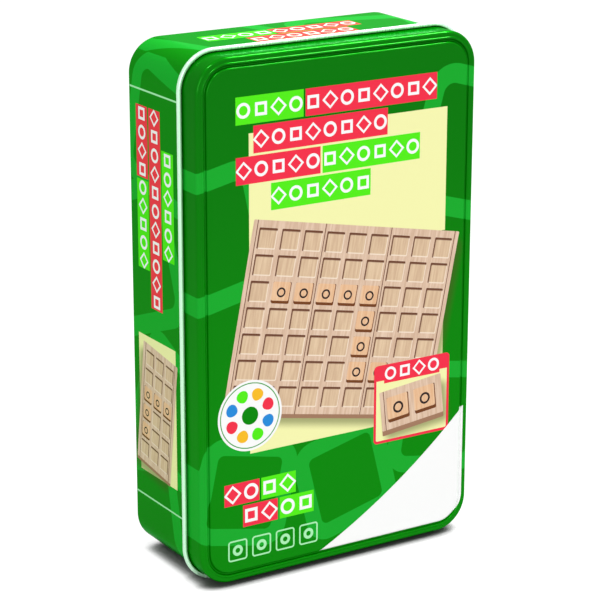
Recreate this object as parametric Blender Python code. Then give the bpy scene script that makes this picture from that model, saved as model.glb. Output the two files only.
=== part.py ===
"""Word board game in a slip-lid tin, standing on its short end with the lid to the front.

Metres, +Z up, -Y to the front. The tin is sized from what it holds: letter tiles set the
cells, the cells set the boards, and the boards and tiles set the tray and the tin around it.
The origin is under the centre of the tin, on the surface that it stands on.
"""
import math

import bmesh
import bpy
from mathutils import Matrix, Vector

# Letter tiles
TILE_SIDE = 0.018
TILE_THICKNESS = 0.006
TILE_BEVEL = 0.0008
TILE_PLAY = 0.0004  # on each side of a tile in a cell of the board

# Boards, three that join side by side by magnets in their long edges
BOARD_COUNT = 3
BOARD_COLUMNS = 3
BOARD_ROWS = 9
BOARD_THICKNESS = 0.015
BOARD_SIDE_MARGIN = 0.0049
BOARD_END_MARGIN = 0.0065
BOARD_BEVEL = 0.0006
CELL_DEPTH = 0.003
RIB_WIDTH = 0.0037
MAGNET_RADIUS = 0.004
MAGNET_THICKNESS = 0.003
MAGNET_FROM_END = 0.030
MAGNET_PLAY = 0.0003
MAGNET_SUNK = 0.0001  # below the board's edge
MAGNET_SIDES = 24

# Rules leaflet, a sheet folded once
LEAFLET_WIDTH = 0.070
LEAFLET_HEIGHT = 0.150
LEAFLET_SHEET = 0.0003
LEAFLET_OPENING = 0.0002
FOLD_STEPS = 6

# Moulded tray, one sheet with a deep well for the boards and a shallow one for the tiles
TRAY_SHEET = 0.001
TRAY_SIDE_MARGIN = 0.0037
TRAY_END_MARGIN = 0.012
TRAY_DIVIDER = 0.003
TRAY_PLAY = 0.0004  # between the tray and the folded edge of the tin's mouth
WELL_PLAY = 0.0003  # between the boards and their well
DECK_BELOW_BOARDS = 0.004  # how far the front board stands proud of the tray
TILE_WELL_DEPTH = 0.005
TILE_WELL_COLUMNS = 3
TILE_WELL_ROWS = 11
TILE_WELL_PLAY = 0.0006
TILE_GAP = 0.0008
NOTCH_WIDTH = 0.026
NOTCH_HEIGHT = 0.008
NOTCH_DEPTH = 0.022

# Tin, drawn from thin steel sheet
SHEET = 0.0003
CORNER_RADIUS = 0.0158
CORNER_STEPS = 8
BEND_STEPS = 4
LID_CLEARANCE = 0.0003
HEAD_ROOM = 0.0126  # from the leaflet to the inside of the lid's rim
SKIRT_DEPTH = 0.0125  # from the rim of the lid to the middle of its curled edge
SHOULDER_RADIUS = 0.0014
GROOVE_FROM_EDGE = 0.0043
GROOVE_DEPTH = 0.0008
GROOVE_FLOOR = 0.0004
RIM_SLOPE = 0.0008
PANEL_SLOPE = 0.0013
PANEL_RAISE = 0.0005
CURL_RADIUS = 0.00095
CURL_STANDOFF = 0.0011  # from the lid's wall to the middle of the curl
CURL_FLARE = 0.0006
CURL_OPENING = 60.0  # degrees that the curl stays open beside the wall
CURL_STEPS = 9
HEM_LENGTH = 0.003
HEM_GAP = 0.0002
MOUTH_GAP = 0.0006
BACK_EDGE_RADIUS = 0.002
BACK_RECESS = 0.0008
BACK_RIM_WIDTH = 0.006
BACK_SLOPE = 0.0012

SEAT_GAP = 0.0003  # between a piece and what it rests on
OVERRUN = 0.002  # how far a cutter runs past the face that it opens
SHARP_ANGLE = 30.0
LEAST_MITRE_SHARE = 0.5

# Sizes that follow
CELL = TILE_SIDE + 2 * TILE_PLAY
CELL_PITCH = CELL + RIB_WIDTH
BOARD_WIDTH = BOARD_COLUMNS * CELL_PITCH - RIB_WIDTH + 2 * BOARD_SIDE_MARGIN
BOARD_LENGTH = BOARD_ROWS * CELL_PITCH - RIB_WIDTH + 2 * BOARD_END_MARGIN
TILE_PITCH = TILE_SIDE + TILE_GAP

BOARD_WELL_WIDTH = BOARD_WIDTH + 2 * WELL_PLAY
BOARD_WELL_LENGTH = BOARD_LENGTH + 2 * WELL_PLAY
TILE_WELL_WIDTH = TILE_WELL_COLUMNS * TILE_PITCH - TILE_GAP + 2 * TILE_WELL_PLAY
TILE_WELL_LENGTH = TILE_WELL_ROWS * TILE_PITCH - TILE_GAP + 2 * TILE_WELL_PLAY
LONGER_WELL = max(BOARD_WELL_LENGTH, TILE_WELL_LENGTH)
TRAY_WIDTH = BOARD_WELL_WIDTH + TRAY_DIVIDER + TILE_WELL_WIDTH + 2 * TRAY_SIDE_MARGIN
TRAY_LENGTH = LONGER_WELL + 2 * TRAY_END_MARGIN

HEM_THICKNESS = 2 * SHEET + HEM_GAP
TRAY_INSET = SHEET + LID_CLEARANCE + HEM_THICKNESS + TRAY_PLAY
TIN_WIDTH = TRAY_WIDTH + 2 * TRAY_INSET
TIN_HEIGHT = TRAY_LENGTH + 2 * TRAY_INSET
CURL_REACH = CURL_STANDOFF + CURL_RADIUS + SHEET / 2
MIDDLE_Z = TIN_HEIGHT / 2 + CURL_REACH

STACK = BOARD_COUNT * (BOARD_THICKNESS + SEAT_GAP)
LEAFLET_THICKNESS = 2 * LEAFLET_SHEET + LEAFLET_OPENING
BEHIND_BOARDS = BACK_RECESS + SHEET + SEAT_GAP + TRAY_SHEET
RIM_TO_BACK = SHEET + HEAD_ROOM + LEAFLET_THICKNESS + SEAT_GAP + STACK + BEHIND_BOARDS
BACK_Y = (RIM_TO_BACK + PANEL_RAISE) / 2
RIM_Y = BACK_Y - RIM_TO_BACK
TRAY_BACK_Y = BACK_Y - BACK_RECESS - SHEET - SEAT_GAP
BOARDS_BACK_Y = TRAY_BACK_Y - TRAY_SHEET - SEAT_GAP
BOARDS_FRONT_Y = BOARDS_BACK_Y - STACK + SEAT_GAP
DECK_Y = BOARDS_FRONT_Y + DECK_BELOW_BOARDS
BOARD_WELL_X = -TRAY_WIDTH / 2 + TRAY_SIDE_MARGIN + BOARD_WELL_WIDTH / 2
TILE_WELL_X = TRAY_WIDTH / 2 - TRAY_SIDE_MARGIN - TILE_WELL_WIDTH / 2


def material(name, colour, roughness, metallic=0.0):
    """A plain Principled finish."""
    made = bpy.data.materials.new(name)
    made.use_nodes = True
    shader = made.node_tree.nodes["Principled BSDF"]
    shader.inputs["Base Color"].default_value = (*colour, 1.0)
    shader.inputs["Roughness"].default_value = roughness
    shader.inputs["Metallic"].default_value = metallic
    return made


def piece(name, mesh, finish, location=(0, 0, 0), parent=None):
    """An object for one piece, with its finish and its place."""
    made = bpy.data.objects.new(name, mesh)
    bpy.context.scene.collection.objects.link(made)
    if not mesh.materials:
        mesh.materials.append(finish)
    made.location = location
    if parent is not None:
        made.parent = parent
        made.matrix_parent_inverse = Matrix.Translation(-parent.location)
    return made


def mesh_of(bm, name):
    """The bmesh as a new mesh, with its faces turned outwards and round parts shaded smooth."""
    bmesh.ops.recalc_face_normals(bm, faces=bm.faces)
    mesh = bpy.data.meshes.new(name)
    bm.to_mesh(mesh)
    bm.free()
    mesh.shade_smooth()
    mesh.set_sharp_from_angle(angle=math.radians(SHARP_ANGLE))
    return mesh


def add_box(bm, low, high):
    """A box between two corners, added to the bmesh."""
    size = Vector(high) - Vector(low)
    middle = (Vector(high) + Vector(low)) / 2
    place = Matrix.Translation(middle) @ Matrix.Diagonal((*size, 1.0))
    bmesh.ops.create_cube(bm, size=1.0, matrix=place)


def cutter_of(mesh):
    """A helper that other pieces are cut with. It isn't part of the object."""
    made = bpy.data.objects.new(mesh.name, mesh)
    bpy.context.scene.collection.objects.link(made)
    made.hide_render = True
    made.display_type = "WIRE"
    return made


def cutter(bm, name):
    """A helper made from a bmesh."""
    return cutter_of(mesh_of(bm, name))


def cut_mesh(target, tools, name):
    """The target's mesh with the tools' shapes taken out. The target and the tools are used up."""
    for tool in tools:
        modifier = target.modifiers.new(tool.name, "BOOLEAN")
        modifier.operation = "DIFFERENCE"
        modifier.solver = "EXACT"
        modifier.object = tool
    bpy.context.view_layer.update()
    graph = bpy.context.evaluated_depsgraph_get()
    mesh = bpy.data.meshes.new_from_object(target.evaluated_get(graph))
    mesh.name = name
    mesh.shade_smooth()
    mesh.set_sharp_from_angle(angle=math.radians(SHARP_ANGLE))
    for used in (target, *tools):
        bpy.data.objects.remove(used)
    return mesh


def rounded_ring(bm, width, height, radius, y):
    """The edges of a rectangle with round corners, in the plane at y."""
    points = []
    for turn, (side_x, side_z) in enumerate(((1, 1), (-1, 1), (-1, -1), (1, -1))):
        centre = Vector((side_x * (width / 2 - radius), y, side_z * (height / 2 - radius)))
        for step in range(CORNER_STEPS + 1):
            angle = math.radians(90) * (turn + step / CORNER_STEPS)
            arm = Vector((math.cos(angle), 0, math.sin(angle))) * radius
            points.append(bm.verts.new(centre + arm))
    return [bm.edges.new((a, b)) for a, b in zip(points, points[1:] + points[:1])]


def carry_ring(bm, edges, grow, y):
    """Extrudes a ring of edges to a ring that is larger by grow all round, at y."""
    made = bmesh.ops.extrude_edge_only(bm, edges=edges)["geom"]
    for vertex in (g for g in made if isinstance(g, bmesh.types.BMVert)):
        side_x = math.copysign(TIN_WIDTH / 2 - CORNER_RADIUS, vertex.co.x)
        side_z = math.copysign(TIN_HEIGHT / 2 - CORNER_RADIUS, vertex.co.z)
        centre = Vector((side_x, vertex.co.y, side_z))
        out = (vertex.co - centre).normalized()
        vertex.co = centre + out * (CORNER_RADIUS + grow)
        vertex.co.y = y
    return [g for g in made if isinstance(g, bmesh.types.BMEdge)]


def both_sides(path, thickness):
    """The two faces of a sheet whose middle follows the path, from one end to the other and back."""
    left, right = [], []
    for index, point in enumerate(path):
        before = Vector(path[max(index - 1, 0)])
        after = Vector(path[min(index + 1, len(path) - 1)])
        here = Vector(point)
        incoming = (here - before).normalized() if index else (after - here).normalized()
        outgoing = (after - here).normalized() if index < len(path) - 1 else incoming
        along = (incoming + outgoing).normalized()
        across = Vector((along.y, -along.x))
        reach = thickness / 2 / max(along.dot(incoming), LEAST_MITRE_SHARE)
        left.append(here + across * reach)
        right.append(here - across * reach)
    return left + right[::-1]


def arc(centre, radius, start, end, steps):
    """Points on an arc. Angles are in degrees, from outwards towards the back."""
    found = []
    for step in range(steps + 1):
        angle = math.radians(start + (end - start) * step / steps)
        found.append((centre[0] + radius * math.cos(angle), centre[1] + radius * math.sin(angle)))
    return found


def ramp(start, end):
    """Points on a soft step from start to end, both left out."""
    found = []
    for step in range(1, BEND_STEPS):
        share = step / BEND_STEPS
        rise = (1 - math.cos(math.pi * share)) / 2
        found.append((start[0] + (end[0] - start[0]) * share, start[1] + (end[1] - start[1]) * rise))
    return found


def drawn_shell(name, path):
    """A tray drawn from sheet: the path is its section, from the flat middle to the free edge.

    A path point is how far the sheet's middle lies outside the lid's wall, and its y.
    """
    bm = bmesh.new()
    (first_grow, first_y), *rest = both_sides(path, SHEET)
    width, height = TIN_WIDTH + 2 * first_grow, TIN_HEIGHT + 2 * first_grow
    ring = rounded_ring(bm, width, height, CORNER_RADIUS + first_grow, first_y)
    bmesh.ops.contextual_create(bm, geom=ring)
    for grow, y in rest:
        ring = carry_ring(bm, ring, grow, y)
    bmesh.ops.contextual_create(bm, geom=ring)
    return mesh_of(bm, name)


def make_lid(finish):
    """The slip lid: a raised panel, a groove, a rim, a skirt and an edge curled outwards."""
    middle = SHEET / 2
    groove_in = -GROOVE_FROM_EDGE - GROOVE_FLOOR / 2
    groove_out = -GROOVE_FROM_EDGE + GROOVE_FLOOR / 2
    panel_edge = (groove_in - PANEL_SLOPE, middle - PANEL_RAISE)
    floor_in = (groove_in, middle + GROOVE_DEPTH)
    floor_out = (groove_out, middle + GROOVE_DEPTH)
    rim_in = (groove_out + RIM_SLOPE, middle)
    bend = SHOULDER_RADIUS - middle
    shoulder = arc((-SHOULDER_RADIUS, SHOULDER_RADIUS), bend, -90, 0, BEND_STEPS)
    curl_middle = (CURL_STANDOFF, SKIRT_DEPTH)
    flare_middle = (CURL_FLARE - middle, SKIRT_DEPTH + CURL_RADIUS - CURL_FLARE)
    flare = arc(flare_middle, CURL_FLARE, 180, 90, BEND_STEPS)
    curl = arc(curl_middle, CURL_RADIUS, 90, CURL_OPENING - 180, CURL_STEPS)
    path = [panel_edge, *ramp(panel_edge, floor_in), floor_in, floor_out]
    path += [*ramp(floor_out, rim_in), rim_in, *shoulder, *flare, *curl]
    return piece("tin_lid", drawn_shell("tin_lid", path), finish, (0, RIM_Y, MIDDLE_Z))


def make_base(finish):
    """The deep half: a back with a shallow recess, round edges, a wall and a hemmed mouth."""
    wall = -SHEET - LID_CLEARANCE - SHEET / 2
    back = RIM_TO_BACK - SHEET / 2
    mouth = SHEET + MOUTH_GAP
    recess_edge = (wall - BACK_RIM_WIDTH - BACK_SLOPE, back - BACK_RECESS)
    rim_edge = (wall - BACK_RIM_WIDTH, back)
    edge_middle = (wall - BACK_EDGE_RADIUS, back - BACK_EDGE_RADIUS)
    edge = arc(edge_middle, BACK_EDGE_RADIUS, 90, 0, BEND_STEPS)
    fold_radius = (SHEET + HEM_GAP) / 2
    fold_middle = (wall - fold_radius, mouth + fold_radius + SHEET / 2)
    fold = arc(fold_middle, fold_radius, 0, -180, BEND_STEPS)
    hem_end = (wall - 2 * fold_radius, fold_middle[1] + HEM_LENGTH)
    path = [recess_edge, *ramp(recess_edge, rim_edge), rim_edge, *edge, *fold, hem_end]
    return piece("tin_base", drawn_shell("tin_base", path), finish, (0, RIM_Y, MIDDLE_Z))


def make_tray(finish):
    """The moulded tray: one sheet, open behind, with its two wells and two finger notches."""
    front, back = DECK_Y, TRAY_BACK_Y
    radius = CORNER_RADIUS - TRAY_INSET

    def rounded_block(inset, start, end):
        bm = bmesh.new()
        width, height = TRAY_WIDTH - 2 * inset, TRAY_LENGTH - 2 * inset
        ring = rounded_ring(bm, width, height, radius - inset, start)
        face = bmesh.ops.contextual_create(bm, geom=ring)["faces"]
        made = bmesh.ops.extrude_face_region(bm, geom=face)["geom"]
        moved = [g for g in made if isinstance(g, bmesh.types.BMVert)]
        bmesh.ops.translate(bm, verts=moved, vec=(0, end - start, 0))
        return bm

    def well(width, length, depth, x, z, grow, overrun):
        bm = bmesh.new()
        low = (x - width / 2 - grow, front - overrun, z - length / 2 - grow)
        high = (x + width / 2 + grow, front + depth + grow, z + length / 2 + grow)
        add_box(bm, low, high)
        return bm

    board_depth = back - TRAY_SHEET - front
    notch_z = (BOARD_WELL_LENGTH + NOTCH_HEIGHT) / 2
    notch_length = NOTCH_HEIGHT + OVERRUN
    wells = {
        "board_well": (BOARD_WELL_WIDTH, BOARD_WELL_LENGTH, board_depth, BOARD_WELL_X, 0),
        "tile_well": (TILE_WELL_WIDTH, TILE_WELL_LENGTH, TILE_WELL_DEPTH, TILE_WELL_X, 0),
    }
    for side, name in ((1, "upper_notch"), (-1, "lower_notch")):
        place = side * (notch_z - OVERRUN / 2)
        wells[name] = (NOTCH_WIDTH, notch_length, NOTCH_DEPTH, BOARD_WELL_X, place)

    outside = cutter(rounded_block(0, front, back), "tray_outside")
    inside = cutter(rounded_block(TRAY_SHEET, front + TRAY_SHEET, back + OVERRUN), "tray_inside")
    walls, hollows = [], []
    for name, (width, length, depth, x, z) in wells.items():
        deepened = depth + OVERRUN if name == "board_well" else depth
        walls.append(cutter(well(width, length, deepened, x, z, TRAY_SHEET, OVERRUN), name + "_wall"))
        hollows.append(cutter(well(width, length, depth, x, z, 0, OVERRUN), name))
    under_deck = cutter_of(cut_mesh(inside, walls, "under_deck"))
    tray_mesh = cut_mesh(outside, [under_deck, *hollows], "inner_tray")
    return piece("inner_tray", tray_mesh, finish, (0, 0, MIDDLE_Z))


def board_mesh(finish):
    """One board, with its cells sunk in the front and its magnet holes drilled in the long edges."""
    half = Vector((BOARD_WIDTH, BOARD_THICKNESS, BOARD_LENGTH)) / 2
    bm = bmesh.new()
    add_box(bm, -half, half)
    bmesh.ops.bevel(
        bm, geom=bm.edges[:], offset=BOARD_BEVEL, segments=1, profile=0.5, affect="EDGES", material=-1
    )
    board = piece("board_blank", mesh_of(bm, "board_blank"), finish)
    cells = bmesh.new()
    for column in range(BOARD_COLUMNS):
        for row in range(BOARD_ROWS):
            left = -half.x + BOARD_SIDE_MARGIN + column * CELL_PITCH
            foot = -half.z + BOARD_END_MARGIN + row * CELL_PITCH
            low = (left, -half.y - OVERRUN, foot)
            add_box(cells, low, (left + CELL, -half.y + CELL_DEPTH, foot + CELL))
    holes = bmesh.new()
    for place in magnet_places():
        depth = MAGNET_SUNK + MAGNET_THICKNESS + MAGNET_PLAY + OVERRUN
        side = math.copysign(1, place.x)
        middle = Vector((side * (half.x + OVERRUN - depth / 2), place.y, place.z))
        turned = Matrix.Translation(middle) @ Matrix.Rotation(math.radians(90), 4, "Y")
        radius = MAGNET_RADIUS + MAGNET_PLAY
        bmesh.ops.create_cone(
            holes, cap_ends=True, segments=MAGNET_SIDES, radius1=radius, radius2=radius,
            depth=depth, matrix=turned,
        )
    return cut_mesh(board, [cutter(cells, "cells"), cutter(holes, "magnet_holes")], "board")


def magnet_places():
    """The middles of a board's four magnets, from the board's own middle."""
    x = BOARD_WIDTH / 2 - MAGNET_SUNK - MAGNET_THICKNESS / 2
    z = BOARD_LENGTH / 2 - MAGNET_FROM_END
    return [Vector((side * x, 0, end * z)) for side in (-1, 1) for end in (-1, 1)]


def magnet_mesh():
    """A disc magnet, its axis along X."""
    bm = bmesh.new()
    bmesh.ops.create_cone(
        bm, cap_ends=True, segments=MAGNET_SIDES, radius1=MAGNET_RADIUS, radius2=MAGNET_RADIUS,
        depth=MAGNET_THICKNESS, matrix=Matrix.Rotation(math.radians(90), 4, "Y"),
    )
    return mesh_of(bm, "magnet")


def make_boards(wood, steel):
    """The stacked boards, back to front, each with its magnets let into its edges."""
    shared_board, shared_magnet = board_mesh(wood), magnet_mesh()
    for index in range(BOARD_COUNT):
        back = BOARDS_BACK_Y - index * (BOARD_THICKNESS + SEAT_GAP)
        middle = Vector((BOARD_WELL_X, back - BOARD_THICKNESS / 2, MIDDLE_Z))
        board = piece(f"board_{index + 1}", shared_board, wood, middle)
        for number, place in enumerate(magnet_places()):
            name = f"board_{index + 1}_magnet_{number + 1}"
            piece(name, shared_magnet, steel, middle + place, board)


def make_tiles(wood, tray):
    """The layer of letter tiles in the shallow well of the tray."""
    half = Vector((TILE_SIDE, TILE_THICKNESS, TILE_SIDE)) / 2
    bm = bmesh.new()
    add_box(bm, -half, half)
    bmesh.ops.bevel(
        bm, geom=bm.edges[:], offset=TILE_BEVEL, segments=1, profile=0.5, affect="EDGES", material=-1
    )
    shared = mesh_of(bm, "tile")
    y = DECK_Y + TILE_WELL_DEPTH - SEAT_GAP - TILE_THICKNESS / 2
    left = TILE_WELL_X - (TILE_WELL_COLUMNS - 1) * TILE_PITCH / 2
    top = MIDDLE_Z + (TILE_WELL_ROWS - 1) * TILE_PITCH / 2
    for row in range(TILE_WELL_ROWS):
        for column in range(TILE_WELL_COLUMNS):
            place = (left + column * TILE_PITCH, y, top - row * TILE_PITCH)
            number = row * TILE_WELL_COLUMNS + column + 1
            piece(f"letter_tile_{number:02d}", shared, wood, place, tray)


def make_leaflet(paper):
    """The rules, one sheet folded once along its right edge, lying on the front board."""
    fold = (LEAFLET_SHEET + LEAFLET_OPENING) / 2
    reach = LEAFLET_WIDTH / 2 - fold - LEAFLET_SHEET / 2
    path = [(-LEAFLET_WIDTH / 2, -fold), *arc((reach, 0), fold, -90, 90, FOLD_STEPS)]
    path.append((-LEAFLET_WIDTH / 2, fold))
    bm = bmesh.new()
    foot = -LEAFLET_HEIGHT / 2
    corners = [bm.verts.new((x, y, foot)) for x, y in both_sides(path, LEAFLET_SHEET)]
    face = bm.faces.new(corners)
    made = bmesh.ops.extrude_face_region(bm, geom=[face])["geom"]
    moved = [g for g in made if isinstance(g, bmesh.types.BMVert)]
    bmesh.ops.translate(bm, verts=moved, vec=(0, 0, LEAFLET_HEIGHT))
    y = BOARDS_FRONT_Y - SEAT_GAP - LEAFLET_THICKNESS / 2
    foot_z = MIDDLE_Z - BOARD_LENGTH / 2 + LEAFLET_HEIGHT / 2
    return piece("rules_leaflet", mesh_of(bm, "rules_leaflet"), paper, (BOARD_WELL_X, y, foot_z))


for old in list(bpy.data.objects):
    bpy.data.objects.remove(old)

printed_tin = material("printed_tin", (0.0, 0.25, 0.0), 0.25, 0.2)
beech = material("beech", (0.72, 0.52, 0.34), 0.55)
tile_beech = material("tile_beech", (0.76, 0.50, 0.28), 0.45)
nickel = material("nickel", (0.60, 0.60, 0.62), 0.25, 1.0)
tray_plastic = material("tray_plastic", (0.85, 0.84, 0.80), 0.40)
leaflet_paper = material("leaflet_paper", (0.88, 0.88, 0.84), 0.80)

make_base(printed_tin)
make_lid(printed_tin)
moulded_tray = make_tray(tray_plastic)
make_boards(beech, nickel)
make_tiles(tile_beech, moulded_tray)
make_leaflet(leaflet_paper)
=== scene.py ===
import functools
import math
import operator

import bmesh
import bpy
from mathutils import Matrix, Vector


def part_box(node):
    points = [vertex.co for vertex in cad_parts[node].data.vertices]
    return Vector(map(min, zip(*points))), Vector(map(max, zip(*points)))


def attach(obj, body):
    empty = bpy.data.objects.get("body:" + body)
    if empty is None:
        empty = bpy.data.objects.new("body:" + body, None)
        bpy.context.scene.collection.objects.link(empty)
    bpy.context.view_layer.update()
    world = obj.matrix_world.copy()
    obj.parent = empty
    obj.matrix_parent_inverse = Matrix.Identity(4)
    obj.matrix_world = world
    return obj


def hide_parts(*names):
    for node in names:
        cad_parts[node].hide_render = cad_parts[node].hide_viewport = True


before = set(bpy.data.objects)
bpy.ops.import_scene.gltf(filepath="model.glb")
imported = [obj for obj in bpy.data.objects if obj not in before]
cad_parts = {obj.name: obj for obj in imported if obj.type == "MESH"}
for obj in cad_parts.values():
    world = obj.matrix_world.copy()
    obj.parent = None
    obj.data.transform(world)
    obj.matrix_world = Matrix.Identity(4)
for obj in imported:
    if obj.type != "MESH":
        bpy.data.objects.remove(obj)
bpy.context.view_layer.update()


# The deep half of the tin. It is drawn from thin printed steel sheet: a back with a shallow recess,
# round edges, a straight wall, and a mouth whose edge is hemmed inwards, which turns the print in.
# Every shape of the tin is one rounded ring of edges that is extruded along the section of the sheet.
SHEET = 0.0003
CORNER_RADIUS = 0.0158
CORNER_STEPS = 20
BEND_STEPS = 6
CURL_STANDOFF = 0.0011
CURL_RADIUS = 0.00095
EDGE_LOOP = 0.0004  # from a bend to the loop that keeps the flat beside it flat
LEAST_MITRE_SHARE = 0.5
SHARP_ANGLE = 40

LID_CLEARANCE = 0.0003
HEM_LENGTH = 0.003
HEM_GAP = 0.0002
MOUTH_GAP = 0.0006
BACK_EDGE_RADIUS = 0.002
BACK_RECESS = 0.0008
BACK_RIM_WIDTH = 0.006
BACK_SLOPE = 0.0012

CURL_REACH = CURL_STANDOFF + CURL_RADIUS + SHEET / 2
PANEL_RAISE = 0.0005
lid_low, lid_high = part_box("tin_lid")
base_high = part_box("tin_base")[1]
MIDDLE_Z = (lid_low.z + lid_high.z) / 2
TIN_WIDTH = lid_high.x - lid_low.x - 2 * CURL_REACH
TIN_HEIGHT = lid_high.z - lid_low.z - 2 * CURL_REACH
RIM_Y = lid_low.y + PANEL_RAISE
RIM_TO_BACK = base_high.y - RIM_Y


def arc(centre, radius, start, end, steps=BEND_STEPS):
    """Points on an arc of a section. Angles are in degrees, from outwards towards the back."""
    angles = [math.radians(start + (end - start) * step / steps) for step in range(steps + 1)]
    return [(centre[0] + radius * math.cos(a), centre[1] + radius * math.sin(a)) for a in angles]


def ramp(start, end):
    """A step of a section, made of two equal arcs, without its two ends."""
    width, rise = end[0] - start[0], end[1] - start[1]
    turn = 2 * math.atan(abs(rise / width))
    across, along = width / math.sin(turn) / 2, rise / (1 - math.cos(turn)) / 2
    angles = [turn * step / BEND_STEPS for step in range(1, BEND_STEPS + 1)]
    rising = [(start[0] + across * math.sin(a), start[1] + along * (1 - math.cos(a))) for a in angles]
    landing = [(end[0] - across * math.sin(a), end[1] - along * (1 - math.cos(a))) for a in angles]
    return rising + landing[-2::-1]


def flat(start, end):
    """A straight stretch of a section, with a loop close to each end."""
    start, end = Vector(start), Vector(end)
    along = (end - start).normalized() * EDGE_LOOP
    return [start, start + along, end - along, end]


def skins(path):
    """One skin of a sheet whose middle follows the path, and the other skin on the way back."""
    outer, inner = [], []
    for index, point in enumerate(path):
        before, here = Vector(path[max(index - 1, 0)]), Vector(point)
        after = Vector(path[min(index + 1, len(path) - 1)])
        incoming = (here - before).normalized() if index else (after - here).normalized()
        outgoing = (after - here).normalized() if index < len(path) - 1 else incoming
        along = (incoming + outgoing).normalized()
        across = Vector((along.y, -along.x))
        reach = SHEET / 2 / max(along.dot(incoming), LEAST_MITRE_SHARE)
        outer.append(here + across * reach)
        inner.append(here - across * reach)
    return outer, inner[::-1]


def rounded_plate(bm, width, height, radius, y):
    """A flat face with round corners in the plane at y, and its edges."""
    facing = Matrix.Translation((0, y, MIDDLE_Z)) @ Matrix.Rotation(math.radians(90), 4, "X")
    sized = facing @ Matrix.Diagonal((width / 2, height / 2, 1, 1))
    corners = bmesh.ops.create_grid(bm, x_segments=1, y_segments=1, size=1, matrix=sized)["verts"]
    bmesh.ops.bevel(
        bm, geom=corners, offset=radius, offset_type="OFFSET", segments=CORNER_STEPS, profile=0.5,
        affect="VERTICES", material=-1,
    )
    return bm.faces[:][0], bm.edges[:]


def drawn_sheet(name, path, finishes, printed):
    """A shell drawn from sheet. A path point is how far the sheet's middle lies outside the lid's
    wall, and how far behind its rim. One skin is printed, the first or the second on the path's
    way, and takes the first finish."""
    bm = bmesh.new()
    first, second = skins(path)
    (grow, depth), *rest = first + second
    plate, ring = rounded_plate(
        bm, TIN_WIDTH + 2 * grow, TIN_HEIGHT + 2 * grow, CORNER_RADIUS + grow, RIM_Y + depth
    )
    for number, (grow, depth) in enumerate(rest, start=1):
        made = bmesh.ops.extrude_edge_only(bm, edges=ring)["geom"]
        for vertex in (g for g in made if isinstance(g, bmesh.types.BMVert)):
            side_x = math.copysign(TIN_WIDTH / 2 - CORNER_RADIUS, vertex.co.x)
            side_z = math.copysign(TIN_HEIGHT / 2 - CORNER_RADIUS, vertex.co.z - MIDDLE_Z)
            centre = Vector((side_x, vertex.co.y, MIDDLE_Z + side_z))
            out = (vertex.co - centre).normalized()
            vertex.co = centre + out * (CORNER_RADIUS + grow)
            vertex.co.y = RIM_Y + depth
        bare_skin = (number < len(first)) != (printed == "first")
        cut_edge = number == len(first)
        for face in (g for g in made if isinstance(g, bmesh.types.BMFace)):
            face.material_index = int(bare_skin or cut_edge)
        ring = [g for g in made if isinstance(g, bmesh.types.BMEdge)]
    last = bmesh.ops.contextual_create(bm, geom=ring)["faces"][0]
    last.material_index = int(printed == "first")
    plate.material_index = int(printed != "first")
    bmesh.ops.recalc_face_normals(bm, faces=bm.faces)
    return finished(bm, name, finishes)


def finished(bm, name, finishes, smooth=True):
    """The bmesh as an object that sits at the origin, with its finishes."""
    mesh = bpy.data.meshes.new(name)
    bm.to_mesh(mesh)
    bm.free()
    if smooth:
        mesh.shade_smooth()
        mesh.set_sharp_from_angle(angle=math.radians(SHARP_ANGLE))
    for finish in finishes:
        mesh.materials.append(finish.material)
    made = bpy.data.objects.new(name, mesh)
    bpy.context.scene.collection.objects.link(made)
    return made


class Wire:
    """What one node of a finish gives. Sums and comparisons on it add the nodes that work them out."""

    def __init__(self, finish, output):
        self.finish, self.output = finish, output

    def maths(self, operation, *others):
        return self.finish.node("ShaderNodeMath", {"operation": operation}, [self, *others])

    def __add__(self, other):
        return self.maths("ADD", other)

    def __sub__(self, other):
        return self.maths("SUBTRACT", other)

    def __rsub__(self, other):
        return self.finish.node("ShaderNodeMath", {"operation": "SUBTRACT"}, [other, self])

    def __mul__(self, other):
        return self.maths("MULTIPLY", other)

    def __truediv__(self, other):
        return self.maths("DIVIDE", other)

    def __abs__(self):
        return self.maths("ABSOLUTE")

    def __lt__(self, other):
        return self.maths("LESS_THAN", other)

    def __gt__(self, other):
        return self.maths("GREATER_THAN", other)

    def __or__(self, other):
        return self.maths("MAXIMUM", other)

    def __mod__(self, other):
        return self.maths("FLOORED_MODULO", other)

    def within(self, low, high):
        """1 from low to high, and 0 elsewhere."""
        return self.maths("COMPARE", (low + high) / 2, (high - low) / 2)

    def among(self, first, last):
        """1 where a whole number is one of those from first to last, and 0 elsewhere."""
        return self.within(first - 0.5, last + 0.5)

    def soft(self, start, end):
        """0 at start and 1 at end, with a soft step between them."""
        values = {"Value": self, "From Min": start, "From Max": end}
        return self.finish.node("ShaderNodeMapRange", {"interpolation_type": "SMOOTHSTEP"}, values)

    __radd__, __rmul__ = __add__, __mul__


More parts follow.
